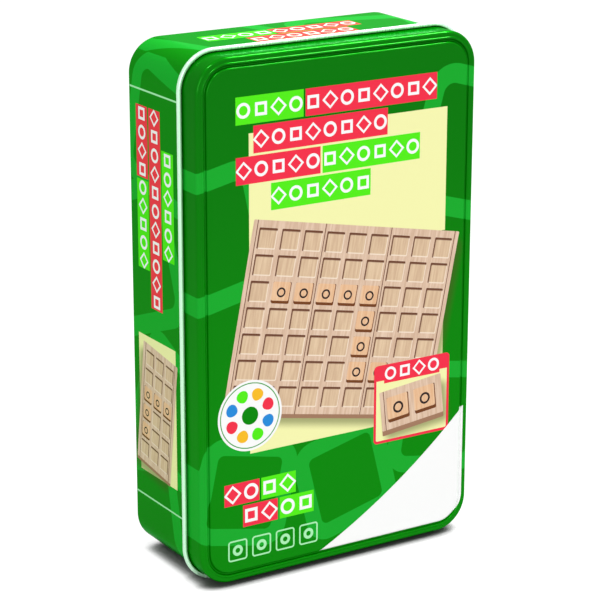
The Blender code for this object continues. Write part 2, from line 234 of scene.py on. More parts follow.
class Finish:
    """A material, with its Principled shader and the one way in which its nodes are made."""

    def __init__(self, name, **sockets):
        self.material = bpy.data.materials.new(name)
        self.material.use_nodes = True
        self.tree = self.material.node_tree
        self.shader = self.tree.nodes["Principled BSDF"]
        for socket, value in sockets.items():
            self.shader.inputs[socket.replace("_", " ")].default_value = value

    def node(self, kind, settings=None, values=(), output=0):
        """One of a new node's outputs, or all of them where output is None. Its settings are set first,
        then its sockets take their values or wires."""
        made = self.tree.nodes.new(kind)
        for name, value in (settings or {}).items():
            if name == "stops":
                stops = made.color_ramp.elements
                stops.remove(stops[1])
                stops[0].position, stops[0].color = value[0][0], (*value[0][1], 1)
                for place, colour in value[1:]:
                    stops.new(place).color = (*colour, 1)
            elif name == "steps":
                made.color_ramp.interpolation = value
            else:
                setattr(made, name, value)
        for key, value in values.items() if isinstance(values, dict) else enumerate(values):
            self.join(value, made.inputs[key])
        outputs = [Wire(self, found) for found in made.outputs]
        return outputs if output is None else outputs[output]

    def join(self, value, socket):
        if isinstance(value, Wire):
            self.tree.links.new(value.output, socket)
        elif isinstance(value, tuple) and len(value) == 3 and socket.type == "RGBA":
            socket.default_value = (*value, 1)
        else:
            socket.default_value = value

    def set(self, **values):
        for socket, value in values.items():
            self.join(value, self.shader.inputs[socket.replace("_", " ")])

    def mix(self, share, first, second):
        """The first colour where share is 0, and the second where it is 1."""
        return self.node("ShaderNodeMix", {"data_type": "RGBA"}, {0: share, 6: first, 7: second}, 2)

    def millimetres(self):
        """A point's x, y and z in millimetres, z from the middle of the tin."""
        place = self.node("ShaderNodeTexCoord", output=3)
        values = {"Vector": place, "Location": (0, 0, -1000 * MIDDLE_Z), "Scale": (1000,) * 3}
        moved = self.node("ShaderNodeMapping", {}, values)
        return self.node("ShaderNodeSeparateXYZ", {}, [moved], None)

    def noise(self, vector, scale, detail=3.0, roughness=0.5):
        values = {"Vector": vector, "Scale": scale, "Detail": detail, "Roughness": roughness}
        return self.node("ShaderNodeTexNoise", {}, values)

    def stretched(self, scale):
        """Object coordinates scaled unlike along x, y and z."""
        place = self.node("ShaderNodeTexCoord", output=3)
        return self.node("ShaderNodeMapping", {}, {"Vector": place, "Scale": scale})

    def bump(self, height, distance, strength=1.0):
        values = {"Height": height, "Distance": distance, "Strength": strength}
        self.set(Normal=self.node("ShaderNodeBump", {}, values))


def ink(red, green, blue):
    """A printed colour from 0 to 255, as the shader takes it."""
    shares = [value / 255 for value in (red, green, blue)]
    return tuple(s / 12.92 if s < 0.04045 else ((s + 0.055) / 1.055) ** 2.4 for s in shares)


GREEN = ink(0, 137, 0)
DEEP_GREEN = ink(0, 120, 2)
LIGHT_GREEN = ink(22, 172, 44)
PALE_GREEN = ink(175, 245, 185)
RED = ink(245, 50, 75)
LIME = ink(84, 240, 24)
CREAM = ink(247, 247, 178)
WHITE = ink(252, 252, 252)
WOOD = ink(214, 181, 155)
WOOD_LIGHT = ink(236, 208, 184)
CELL_WOOD = ink(212, 180, 148)
CELL_WOOD_LIGHT = ink(232, 204, 170)
LIT_WOOD = ink(250, 232, 210)
DARK_WOOD = ink(112, 72, 54)
EDGE_WOOD = ink(164, 124, 98)
TILE_WOOD = ink(230, 180, 138)
TILE_WOOD_LIGHT = ink(242, 204, 166)
TILE_EDGE_WOOD = ink(118, 68, 38)
TILE_MARK = ink(52, 40, 40)


def turned(u, v, middle_u, middle_v, degrees):
    """A point's place on a motif that is turned and set down at the middle."""
    cos, sin = math.cos(math.radians(degrees)), math.sin(math.radians(degrees))
    across = u.maths("MULTIPLY_ADD", cos, v * sin - (middle_u * cos + middle_v * sin))
    up = u.maths("MULTIPLY_ADD", -sin, v * cos + (middle_u * sin - middle_v * cos))
    return across, up


def distance(u, v):
    """How far a point lies from the middle of a motif."""
    return (u * u + v * v).maths("SQRT")


def outside(u, v, half_u, half_v, radius):
    """How far a point lies outside a rectangle with round corners, less than 0 inside it."""
    return distance((abs(u) - (half_u - radius)) | 0.0, (abs(v) - (half_v - radius)) | 0.0) - radius


def giant_tiles(finish, u, v, colour, tiles):
    """Large outlines of tiles, tone on tone. A tile is its middle's two places, half its side, how
    many degrees it is turned, and its outline's width."""
    for middle_u, middle_v, half, degrees, stroke in tiles:
        across, up = turned(u, v, middle_u, middle_v, degrees)
        edge = outside(across, up, half, half, half / 3)
        colour = finish.mix(edge.within(-stroke / 2, stroke / 2), colour, LIGHT_GREEN)
    return colour


# The prints are laid out in millimetres.
BAR_GAP = 1.0
RING_SHARE, SQUARE_SHARE, DIAMOND_SHARE = 0.39, 0.34, 0.47  # of the pitch, from the middle outwards
STROKE_SHARE = 0.15


def bars(finish, u, v, colour, pitch, row_height, rows):
    """Rows of bare bars. Each bar has a row of plain white outlines, which take turns.

    A row is its number, the first and last column that its bar fills, and the bar's colour."""
    column = (u / pitch).maths("FLOOR")
    row = (v / row_height).maths("FLOOR")
    across = u % pitch - pitch / 2
    up = v % row_height - row_height / 2
    ring = distance(across, up) - RING_SHARE * pitch
    square = (abs(across) | abs(up)) - SQUARE_SHARE * pitch
    diamond = abs(across) + abs(up) - DIAMOND_SHARE * pitch
    kind = (column + row * 2) % 3
    shape = ring * kind.among(0, 0) + square * kind.among(1, 1) + diamond * kind.among(2, 2)
    in_row = abs(up) < row_height / 2 - BAR_GAP / 2
    filled = []
    for number, first, last, bar_colour in rows:
        low, high = first * pitch + BAR_GAP / 2, (last + 1) * pitch - BAR_GAP / 2
        bar = in_row * row.among(number, number) * u.within(low, high)
        colour = finish.mix(bar, colour, bar_colour)
        filled.append(bar)
    on_bars = functools.reduce(operator.or_, filled)
    return finish.mix(on_bars * shape.within(-STROKE_SHARE * pitch, 0), colour, WHITE)


BOARD_MARGIN = 2.2
BOARD_CORNER = 0.6
SEAM = 0.2
COLUMNS_TO_A_SEAM = 3
SHADE = ink(70, 84, 30)
SHADE_STRENGTH = 0.6
SHADE_SHIFT = (2.0, -4.4)
SHADE_CORNER = 3.5
SHADE_EDGE = (3.5, -2.0)  # how far outside the board its shade starts, and how far inside it is full
CELL_CORNER = 0.5
SOFT_EDGE = 0.3
FOOT_CORNER = 0.7
FACE_CORNER = 0.8

# These are shares of the cells' pitch. The four of a shape in a cell are how far it is set off to the
# right and upwards, half its width and half its height.
THICKNESS_SHARE = 0.16
CELL_SHARES = (0, 0, 0.4, 0.4)
LIT_SHARES = (-0.03, 0.04, 0.4, 0.4)
SHADOW_SHARES = (0.06, -0.09, 0.4, 0.4)
FOOT_SHARES = (0.01, -0.03, 0.39, 0.4)
FACE_SHARES = (-0.02, 0.04, 0.385, 0.36)
MARK_SHARES = (0.12, 0.19)


def board_picture(finish, u, v, colour, middle, degrees, columns, rows, pitch, runs):
    """A picture of a wooden board with square cells. A run is the first and last column and the first
    and last row that tiles fill."""
    across, up = turned(u, v, *middle, degrees)
    field_u, field_v = columns * pitch / 2, rows * pitch / 2
    half_u, half_v = field_u + BOARD_MARGIN, field_v + BOARD_MARGIN
    in_u = (across + field_u) % pitch - pitch / 2
    in_v = (up + field_v) % pitch - pitch / 2

    def in_cell(shares, corner):
        """How far a point lies outside a shape that each cell has."""
        shift_u, shift_v, shape_u, shape_v = (share * pitch for share in shares)
        return outside(in_u - shift_u, in_v - shift_v, shape_u, shape_v, corner)

    shade = outside(across - SHADE_SHIFT[0], up - SHADE_SHIFT[1], half_u, half_v, SHADE_CORNER)
    colour = finish.mix(shade.soft(*SHADE_EDGE) * SHADE_STRENGTH, colour, SHADE)
    near_edge = outside(across, up + THICKNESS_SHARE * pitch, half_u, half_v, BOARD_CORNER) < 0
    colour = finish.mix(near_edge, colour, EDGE_WOOD)

    grain = finish.node("ShaderNodeCombineXYZ", {}, [across * 0.9, up * 0.06, 0.0])
    fibre = finish.noise(grain, scale=1.0).soft(0.3, 0.75)
    in_field = (abs(across) < field_u) * (abs(up) < field_v)
    cell = (in_cell(CELL_SHARES, CELL_CORNER) < 0) * in_field
    wood = finish.mix(fibre, WOOD, WOOD_LIGHT)
    wood = finish.mix(cell, wood, finish.mix(fibre, CELL_WOOD, CELL_WOOD_LIGHT))
    for shares, tone in ((LIT_SHARES, LIT_WOOD), (SHADOW_SHARES, DARK_WOOD)):
        cell_edge = in_cell(shares, CELL_CORNER).soft(-SOFT_EDGE, SOFT_EDGE)
        wood = finish.mix(cell_edge * cell, wood, tone)
    seam_pitch = COLUMNS_TO_A_SEAM * pitch
    seam = abs((across + field_u) % seam_pitch - seam_pitch / 2) > seam_pitch / 2 - SEAM
    wood = finish.mix(seam * (1 - cell), wood, DARK_WOOD)

    column = (across / pitch + columns / 2).maths("FLOOR")
    row = (up / pitch + rows / 2).maths("FLOOR")
    filled = functools.reduce(operator.or_, [
        column.among(first_column, last_column) * row.among(first_row, last_row)
        for first_column, last_column, first_row, last_row in runs
    ])
    wood = finish.mix((in_cell(FOOT_SHARES, FOOT_CORNER) < 0) * filled, wood, TILE_EDGE_WOOD)
    face = (in_cell(FACE_SHARES, FACE_CORNER) < 0) * filled
    wood = finish.mix(face, wood, finish.mix(fibre, TILE_WOOD, TILE_WOOD_LIGHT))
    mark = distance(in_u, in_v).within(*(share * pitch for share in MARK_SHARES))
    wood = finish.mix(mark * filled, wood, TILE_MARK)
    return finish.mix(outside(across, up, half_u, half_v, BOARD_CORNER) < 0, colour, wood)


def varnished(finish, colour):
    """Litho ink on steel under a gloss varnish, which flows out a little uneven."""
    fine = finish.noise(finish.stretched((1, 1, 1)), scale=240.0, detail=2.0)
    slow = finish.noise(finish.stretched((1, 1, 1)), scale=22.0, detail=2.0)
    finish.set(Base_Color=colour, Roughness=slow.soft(0.3, 0.7) * 0.06 + 0.2)
    finish.bump(fine + slow, distance=0.00003, strength=0.25)


PRINTED_GLOSS = dict(
    Metallic=0.34, Specular_IOR_Level=0.0, Specular_Tint=(0.3, 1.0, 0.4, 1.0),
    Coat_Weight=0.045, Coat_IOR=2.0, Coat_Roughness=0.06,
)
base_print = Finish("tin_print_on_base", **PRINTED_GLOSS)
x, y, z = base_print.millimetres()
corner_x = abs(x) - 1000 * (TIN_WIDTH / 2 - CORNER_RADIUS)
corner_z = abs(z) - 1000 * (TIN_HEIGHT / 2 - CORNER_RADIUS)
on_side = corner_x > corner_z
on_back = y > 1000 * (base_high.y - BACK_EDGE_RADIUS)
on_top = z > 0.0

WALL_MIDDLE_Y = 6.0
SIDE_PATCH_ACROSS, SIDE_PATCH_UP = (-15, 19), (-80, -14)
SIDE_LINES_UP = ((-92.6, -91.8), (98.6, 99.4))
depth = y - WALL_MIDDLE_Y  # from the middle of the wall that shows

side_ground = giant_tiles(base_print, depth, z, GREEN, [
    (-6, 82, 27, 14, 8), (16, 22, 30, -20, 9), (-10, -44, 26, 24, 8), (10, -100, 24, -12, 8),
])
side = bars(base_print, z, depth - 7.0, side_ground, pitch=8.4, row_height=11.4, rows=[
    (-1, 0, 10, RED), (0, 2, 6, LIME), (-2, 3, 8, LIME), (0, 7, 10, RED),
])
patch = depth.within(*SIDE_PATCH_ACROSS) * z.within(*SIDE_PATCH_UP)
side = base_print.mix(patch, side, CREAM)
side = board_picture(
    base_print, depth, z, side, middle=(3, -48), degrees=8, columns=3, rows=6, pitch=9.0,
    runs=[(0, 2, 3, 3), (2, 2, 1, 3)],
)
for low, high in SIDE_LINES_UP:
    side = base_print.mix(z.within(low, high), side, PALE_GREEN)

end_ground = giant_tiles(base_print, x, depth, GREEN, [(-34, 10, 26, 18, 8), (30, -12, 28, -15, 9)])
end_bars = bars(base_print, x, depth, end_ground, pitch=9.0, row_height=12.0, rows=[
    (0, -5, -2, LIME), (0, -1, 3, RED), (-1, -3, 2, RED),
])
end = base_print.mix(on_top, end_ground, end_bars)

back_ground = giant_tiles(base_print, x, z, GREEN, [
    (-30, 70, 40, 12, 9), (46, 20, 34, -18, 9), (-38, -40, 36, 22, 9), (34, -84, 32, -10, 9),
])
back = base_print.mix(outside(x, z + 8, 48, 62, 3) < 0, back_ground, CREAM)
back = board_picture(
    base_print, x * -1.0, z, back, middle=(10, 4), degrees=0, columns=6, rows=6, pitch=11.0,
    runs=[(1, 4, 3, 3), (4, 4, 1, 4)],
)
back = bars(base_print, x * -1.0, z, back, pitch=9.0, row_height=12.0, rows=[
    (7, -5, 0, RED), (6, -3, 4, LIME), (-5, -4, -2, RED),
])

walls = base_print.mix(on_side, end, side)
varnished(base_print, base_print.mix(on_back, walls, back))

bare_tin = Finish("bare_tinplate")
x, y, z = bare_tin.millimetres()
half_width, half_height = 500 * TIN_WIDTH, 500 * TIN_HEIGHT
on_curl = outside(x, z, half_width, half_height, 1000 * CORNER_RADIUS) > 0.1
streaks = bare_tin.noise(bare_tin.stretched((900, 900, 30)), scale=1.0, detail=3.0)
plate = bare_tin.mix(streaks, ink(206, 208, 202), ink(232, 233, 228))
lacquered = bare_tin.mix(streaks, ink(206, 252, 217), ink(212, 255, 222))
bare_tin.set(
    Base_Color=bare_tin.mix(on_curl, plate, lacquered),
    Metallic=1 - on_curl * 0.5,
    Roughness=streaks.soft(0.3, 0.7) * 0.12 + 0.2,
)
bare_tin.bump(streaks * (1 - on_curl), distance=0.00002, strength=0.4)

wall = -SHEET - LID_CLEARANCE - SHEET / 2
back_y = RIM_TO_BACK - SHEET / 2
mouth = SHEET + MOUTH_GAP
recess_edge = (wall - BACK_RIM_WIDTH - BACK_SLOPE, back_y - BACK_RECESS)
rim_edge = (wall - BACK_RIM_WIDTH, back_y)
edge_middle = (wall - BACK_EDGE_RADIUS, back_y - BACK_EDGE_RADIUS)
edge = arc(edge_middle, BACK_EDGE_RADIUS, 90, 0)
fold_radius = (SHEET + HEM_GAP) / 2
fold_middle = (wall - fold_radius, mouth + fold_radius + SHEET / 2)
fold = arc(fold_middle, fold_radius, 0, -180)
hem_end = (wall - 2 * fold_radius, fold_middle[1] + HEM_LENGTH)
back_path = [(recess_edge[0] - EDGE_LOOP, recess_edge[1]), recess_edge, *ramp(recess_edge, rim_edge)]
back_path += [*flat(rim_edge, edge[0]), *edge[1:-1], *flat(edge[-1], fold[0]), *fold[1:], hem_end]
tin_base = drawn_sheet("tin_base_drawn", back_path, [base_print, bare_tin], "second")
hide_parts("tin_base")
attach(tin_base, "base")


# The moulded tray. It is one thin sheet of off-white plastic, drawn down into a deep well for the
# boards and a shallow one for the tiles. The mould leaves every edge a little round.
MERGE_DISTANCE = 0.00001
FLAT_ANGLE = math.radians(1)
CORNER_ANGLE = math.radians(30)
MOULDED_EDGE = 0.0004
MOULDED_SEGMENTS = 3


def rounded(bm, edges, radius, segments, clamp_overlap=False):
    """Rounds some edges of a bmesh."""
    bmesh.ops.bevel(
        bm, geom=edges, offset=radius, offset_type="OFFSET", segments=segments, profile=0.5,
        affect="EDGES", material=-1, clamp_overlap=clamp_overlap,
    )


def softened(node, name, radius, segments, finish):
    """A copy of a CAD node, its loose triangles joined into faces and its corners rounded."""
    bm = bmesh.new()
    bm.from_mesh(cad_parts[node].data)
    bmesh.ops.remove_doubles(bm, verts=bm.verts, dist=MERGE_DISTANCE)
    bmesh.ops.dissolve_limit(bm, angle_limit=FLAT_ANGLE, verts=bm.verts, edges=bm.edges)
    corners = [edge for edge in bm.edges if edge.calc_face_angle(0) > CORNER_ANGLE]
    rounded(bm, corners, radius, segments, clamp_overlap=True)
    for face in bm.faces:
        face.material_index = 0
    made = finished(bm, name, [finish])
    made.modifiers.new("even_normals", "WEIGHTED_NORMAL").keep_sharp = True
    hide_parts(node)
    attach(made, "base")
    return made


moulded = Finish("moulded_tray_plastic", Specular_IOR_Level=0.4)
cloud = moulded.noise(moulded.stretched((1, 1, 1)), scale=30.0, detail=3.0)
speck = moulded.noise(moulded.stretched((1, 1, 1)), scale=900.0, detail=2.0)
moulded.set(
    Base_Color=moulded.mix(cloud, ink(232, 230, 222), ink(242, 241, 235)),
    Roughness=speck.soft(0.3, 0.7) * 0.12 + 0.34,
)
moulded.bump(speck, distance=0.00005, strength=0.3)
tray = softened("inner_tray", "inner_tray_moulded", MOULDED_EDGE, MOULDED_SEGMENTS, moulded)


# The three boards. Each is a beech block whose cells are milled in and whose edges are sanded off.
# The grain runs along the block, and the lacquer is thin and matt.
SANDED_EDGE = 0.00035
SANDED_SEGMENTS = 2
FLECK_BROWN = ink(150, 108, 70)


def beech(name, dark, light, roughness, tone_scale):
    """Sanded beech, its grain along z, with short dark flecks. Its tone drifts over tone_scale."""
    finish = Finish(name, Specular_IOR_Level=0.35)
    fibre = finish.noise(finish.stretched((420, 420, 14)), scale=1.0, detail=5.0, roughness=0.6)
    fleck = finish.noise(finish.stretched((1500, 1500, 240)), scale=1.0, detail=1.0).soft(0.64, 0.7)
    tone = finish.noise(finish.stretched(tone_scale), scale=1.0, detail=1.0)
    share = fibre.soft(0.25, 0.75) * 0.65 + tone.soft(0.3, 0.7) * 0.35
    colour = finish.mix(fleck * 0.4, finish.mix(share, dark, light), FLECK_BROWN)
    finish.set(Base_Color=colour, Roughness=fibre * 0.16 + roughness)
    finish.bump(fibre + fleck * -0.6, distance=0.00008, strength=0.5)
    return finish


board_beech = beech(
    "board_beech", ink(214, 178, 134), ink(238, 210, 172), roughness=0.46, tone_scale=(14, 60, 3)
)
for number in (1, 2, 3):
    node = f"board_{number}"
    board = softened(node, f"{node}_milled", SANDED_EDGE, SANDED_SEGMENTS, board_beech)


# The magnets. Each is a nickel-plated disc, glued into a blind hole in a board's long edge. The
# solids of the frame have their shape already, and take the finish of the plating.
nickel = Finish("nickel_plate", Metallic=1.0)
brushed = nickel.noise(nickel.stretched((800, 800, 800)), scale=1.0, detail=2.0)
nickel.set(
    Base_Color=nickel.mix(brushed, ink(186, 184, 178), ink(214, 212, 206)),
    Roughness=brushed * 0.12 + 0.16,
)
for name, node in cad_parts.items():
    if "magnet" in name:
        node.material_slots[0].material = nickel.material


# The letter tiles. Each is a small square of beech with round corners, and its letter is printed in
# black on the front. They lie in alphabetical order.
TILE_CORNER = 0.0014
TILE_CORNER_SEGMENTS = 5
TILE_EDGE = 0.0005
TILE_EDGE_SEGMENTS = 3
LETTERS = "AAABCDEEEFGHIIJKLMNNOOPQRRSTTUVWY"
LETTER_SIZE = 0.0142
LETTER_THICKNESS = 0.0002
LETTER_PROUD = 0.00003

tile_beech = beech(
    "tile_beech", ink(222, 178, 120), ink(246, 214, 164), roughness=0.38, tone_scale=(53, 53, 53)
)
letter_ink = Finish("letter_ink", Specular_IOR_Level=0.3)
spots = letter_ink.noise(letter_ink.stretched((1, 1, 1)), scale=1500.0, detail=2.0)
letter_ink.set(
    Base_Color=letter_ink.mix(spots, ink(28, 24, 22), ink(52, 44, 38)), Roughness=spots * 0.2 + 0.4
)
letters = bmesh.new()
for number, letter in enumerate(LETTERS, start=1):
    node = f"letter_tile_{number:02d}"
    low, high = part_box(node)
    size, centre = high - low, (high + low) / 2
    tile = bmesh.new()
    sized = Matrix.Translation(centre) @ Matrix.Diagonal((*size, 1))
    bmesh.ops.create_cube(tile, size=1, matrix=sized)
    upright = [e for e in tile.edges if abs(e.verts[0].co.y - e.verts[1].co.y) > size.y / 2]
    rounded(tile, upright, TILE_CORNER, TILE_CORNER_SEGMENTS)
    around = [e for e in tile.edges if e.calc_face_angle(0) > CORNER_ANGLE]
    rounded(tile, around, TILE_EDGE, TILE_EDGE_SEGMENTS)
    made = finished(tile, f"{node}_cut", [tile_beech])
    made.modifiers.new("even_normals", "WEIGHTED_NORMAL").keep_sharp = True
    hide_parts(node)
    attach(made, "base")

    text = bpy.data.curves.new("letter", "FONT")
    text.body, text.size, text.extrude = letter, LETTER_SIZE, LETTER_THICKNESS / 2
    holder = bpy.data.objects.new("letter", text)
    bpy.context.scene.collection.objects.link(holder)
    depsgraph = bpy.context.evaluated_depsgraph_get()
    shape = bpy.data.meshes.new_from_object(holder.evaluated_get(depsgraph))
    shape.transform(Matrix.Rotation(math.radians(90), 4, "X"))
    middle = Vector([(min(c) + max(c)) / 2 for c in zip(*(v.co for v in shape.vertices))])
    front_y = low.y - LETTER_PROUD + LETTER_THICKNESS / 2
    shape.transform(Matrix.Translation(Vector((centre.x, front_y, centre.z)) - middle))
    letters.from_mesh(shape)
    bpy.data.objects.remove(holder)
bmesh.ops.remove_doubles(letters, verts=letters.verts, dist=MERGE_DISTANCE)
printed_letters = finished(letters, "tile_letters", [letter_ink], smooth=False)
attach(printed_letters, "base")


# The rules. They are a sheet of uncoated paper, folded once at the right, which springs open a little.
PAPER = 0.00026
SPRING = 0.0022
PAGE_STEPS = 10
LEAFLET_FOLD_STEPS = 8
COVER_HEAD = 42
TEXT_ACROSS, TEXT_UP = (-26, 26), (-66, -38)
TEXT_LINE, TEXT_PITCH = 1.0, 5.0

leaflet_print = Finish("leaflet_print", Specular_IOR_Level=0.2)
x, y, z = leaflet_print.millimetres()
low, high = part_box("rules_leaflet")
page_u, page_v = x - 500 * (low.x + high.x), z - 500 * (low.z + high.z) + 1000 * MIDDLE_Z
cover = leaflet_print.mix(page_v > COVER_HEAD, ink(246, 245, 238), ink(24, 140, 30))
cover = bars(leaflet_print, page_u + 22.0, page_v - 50.0, cover, pitch=8.8, row_height=10.0, rows=[
    (0, 0, 4, RED), (1, 1, 3, LIME),
])
cover = board_picture(
    leaflet_print, page_u, page_v, cover, middle=(0, 2), degrees=8, columns=5, rows=5, pitch=9.5,
    runs=[(1, 3, 2, 2), (3, 3, 0, 3)],
)
text_area = page_v.within(*TEXT_UP) * page_u.within(*TEXT_ACROSS)
cover = leaflet_print.mix((page_v % TEXT_PITCH < TEXT_LINE) * text_area, cover, ink(150, 156, 150))
pulp = leaflet_print.noise(leaflet_print.stretched((1, 1, 1)), scale=1100.0, detail=3.0)
inside_page = leaflet_print.mix(pulp, ink(240, 239, 232), ink(248, 247, 242))
facing = leaflet_print.node("ShaderNodeNewGeometry", output=3)  # the true normal
on_cover = leaflet_print.node("ShaderNodeSeparateXYZ", {}, [facing], 1) < -0.5
leaflet_print.set(
    Base_Color=leaflet_print.mix(on_cover, inside_page, cover), Roughness=pulp * 0.1 + 0.7
)
leaflet_print.bump(pulp, distance=0.00004, strength=0.4)

fold_radius = (high.y - low.y - PAPER) / 2
fold_x = high.x - fold_radius - PAPER / 2
page_shares = [step / PAGE_STEPS for step in range(PAGE_STEPS + 1)]
section = [(low.x + (fold_x - low.x) * share, high.y - PAPER / 2) for share in page_shares[:-1]]
section += arc((fold_x, (low.y + high.y) / 2), fold_radius, 90, -90, LEAFLET_FOLD_STEPS)
section += [
    (fold_x + (low.x - fold_x) * share, low.y + PAPER / 2 - SPRING * share ** 2)
    for share in page_shares[1:]
]
leaflet = bmesh.new()
ends = [leaflet.verts.new((*section[0], height)) for height in (low.z, high.z)]
edge = [leaflet.edges.new(ends)]
for before, after in zip(section, section[1:]):
    made = bmesh.ops.extrude_edge_only(leaflet, edges=edge)["geom"]
    moved = [g for g in made if isinstance(g, bmesh.types.BMVert)]
    bmesh.ops.translate(leaflet, verts=moved, vec=(after[0] - before[0], after[1] - before[1], 0))
    made_edges = [g for g in made if isinstance(g, bmesh.types.BMEdge)]
    edge = [made_edge for made_edge in made_edges if all(v in moved for v in made_edge.verts)]
bmesh.ops.solidify(leaflet, geom=leaflet.faces[:], thickness=PAPER)
bmesh.ops.recalc_face_normals(leaflet, faces=leaflet.faces)
rules = finished(leaflet, "rules_leaflet_folded", [leaflet_print])
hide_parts("rules_leaflet")
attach(rules, "base")


# The slip lid. It is drawn from the same sheet: a panel that stands a little proud, a pressed groove
# with a low bead beside it, a flat rim, a round shoulder and a skirt, whose free edge is curled
# outwards and so shows the unprinted side of the steel.
SKIRT_DEPTH = 0.0125
SHOULDER_RADIUS = 0.0014
GROOVE_FROM_EDGE = 0.00415
GROOVE_DEPTH = 0.0008
GROOVE_SLOPE = 0.0012
BEAD_RAISE = 0.0003
BEAD_SLOPE = 0.00055
PANEL_SLOPE = 0.00145
CURL_FLARE = 0.0006
CURL_OPENING = 60
CURL_STEPS = 16

PAGE_ACROSS, PAGE_UP = (-47, 57), (-60, 86)
PAGE_LINE_UP = (27.2, 28.4)
DEEPER_UP = (-70, 115)  # where the green starts to deepen, and where it is deepest
lid_print = Finish("tin_print_on_lid", **PRINTED_GLOSS)
x, y, z = lid_print.millimetres()
ground = lid_print.mix(z.soft(*DEEPER_UP), GREEN, DEEP_GREEN)
front = giant_tiles(lid_print, x, z, ground, [
    (-68, 40, 27, 12, 9), (74, 66, 30, -16, 9), (-50, -78, 21, -12, 8), (4, -82, 21, 14, 8),
    (56, -62, 23, -10, 8),
])
across_page = x.within(*PAGE_ACROSS)
front = lid_print.mix(across_page * z.within(*PAGE_UP), front, CREAM)
front = lid_print.mix(across_page * z.within(*PAGE_LINE_UP), front, GREEN)
front = board_picture(
    lid_print, x, z, front, middle=(2, -6), degrees=-11, columns=9, rows=7, pitch=11.9,
    runs=[(1, 5, 4, 4), (5, 5, 1, 4), (5, 7, 1, 1)],
)
front = bars(lid_print, x + 54.0, z - 50.0, front, pitch=8.8, row_height=13.2, rows=[
    (3, 0, 3, LIME), (3, 4, 11, RED), (2, 1, 8, RED), (1, 0, 4, RED), (1, 5, 10, LIME), (0, 2, 7, LIME),
])

# The inset at the lower right has a red frame and a red head.
INSET_FRAME = 1.3
INSET_HEAD = 11.5  # from the inset's middle up to its head
inset_u, inset_v = x - 40.0, z + 50.0
inset = outside(inset_u, inset_v, 21, 19, 2)
front = lid_print.mix(inset < 0, front, CREAM)
front = board_picture(
    lid_print, inset_u, inset_v, front, middle=(0, -2), degrees=6, columns=2, rows=1, pitch=15.0,
    runs=[(0, 1, 0, 0)],
)
inset_red = inset.within(-INSET_FRAME, 0) | ((inset < 0) * (inset_v > INSET_HEAD))
front = lid_print.mix(inset_red, front, RED)
front = bars(lid_print, inset_u + 16.0, inset_v - 9.5, front, pitch=8.0, row_height=10.0, rows=[
    (0, 0, 3, RED),
])

# The badge at the lower left is a white disc with a thin ring, and coloured spots round a green one.
BADGE_RADIUS = 16.5
BADGE_RING = (14.9, 15.4)
SPOTS = 8
SPOT_TONES = (RED, ink(250, 190, 40), LIME, ink(40, 140, 220))
SPOTS_FROM_MIDDLE = 10.0
SPOT_RADIUS = 2.9
MIDDLE_SPOT_RADIUS = 4.2
badge_u, badge_v = x + 47.0, z + 42.0
badge_reach = distance(badge_u, badge_v)
badge_turn = badge_v.maths("ARCTAN2", badge_u) * (SPOTS / math.tau) + SPOTS / 2
spot_u = (badge_turn % 1.0 - 0.5) * (math.tau * SPOTS_FROM_MIDDLE / SPOTS)
spot = distance(spot_u, badge_reach - SPOTS_FROM_MIDDLE) < SPOT_RADIUS
tones = len(SPOT_TONES)
spot_colour = lid_print.node("ShaderNodeValToRGB", {
    "steps": "CONSTANT", "stops": [(place / tones, tone) for place, tone in enumerate(SPOT_TONES)],
}, [(badge_turn.maths("FLOOR") % tones) / tones])
front = lid_print.mix(badge_reach < BADGE_RADIUS, front, WHITE)
front = lid_print.mix(badge_reach.within(*BADGE_RING), front, ink(60, 160, 60))
front = lid_print.mix(spot, front, spot_colour)
front = lid_print.mix(badge_reach < MIDDLE_SPOT_RADIUS, front, GREEN)

# Two short rows of bars and a row of framed rings stand below the badge.
ICON_PITCH = 12.5
ICON_HALF, ICON_CORNER = 5, 1.5
ICON_FRAME = 0.75
ICON_RING = (1.2, 2.6)
ICONS_ACROSS = (-60, -10)
front = bars(lid_print, x + 61.0, z + 95.0, front, pitch=9.6, row_height=11.4, rows=[
    (1, 0, 1, RED), (1, 2, 3, LIME), (0, 1, 2, RED), (0, 3, 4, LIME),
])
icon_u, icon_v = (x - ICONS_ACROSS[0]) % ICON_PITCH - ICON_PITCH / 2, z + 105.0
in_icons = x.within(*ICONS_ACROSS)
icon_frame = outside(icon_u, icon_v, ICON_HALF, ICON_HALF, ICON_CORNER).within(-ICON_FRAME, 0)
icon_ring = distance(icon_u, icon_v).within(*ICON_RING)
front = lid_print.mix((icon_frame | icon_ring) * in_icons, front, PALE_GREEN)

# The lower right corner is white inside the rim, as far as an arc about a point beyond the upper left.
CORNER_ARC = 310.0
corner = distance(x + 147.0, z - 163.0) > CORNER_ARC
inside_rim = outside(x - 1.3, z, 68.3, 115.4, 12.5) < 0
front = lid_print.mix(corner * inside_rim, front, WHITE)
varnished(lid_print, front)

middle = SHEET / 2
panel_edge = (-GROOVE_FROM_EDGE - PANEL_SLOPE, middle - PANEL_RAISE)
groove_floor = (-GROOVE_FROM_EDGE, middle + GROOVE_DEPTH)
bead = (-GROOVE_FROM_EDGE + GROOVE_SLOPE, middle - BEAD_RAISE)
rim_in = (bead[0] + BEAD_SLOPE, middle)
shoulder = arc((-SHOULDER_RADIUS, SHOULDER_RADIUS), SHOULDER_RADIUS - middle, -90, 0)
flare_middle = (CURL_FLARE - middle, SKIRT_DEPTH + CURL_RADIUS - CURL_FLARE)
flare = arc(flare_middle, CURL_FLARE, 180, 90)
curl = arc((CURL_STANDOFF, SKIRT_DEPTH), CURL_RADIUS, 90, CURL_OPENING - 180, CURL_STEPS)
lid_path = [(panel_edge[0] - EDGE_LOOP, panel_edge[1]), panel_edge, *ramp(panel_edge, groove_floor)]
lid_path += [groove_floor, *ramp(groove_floor, bead), bead, *ramp(bead, rim_in)]
lid_path += flat(rim_in, shoulder[0])
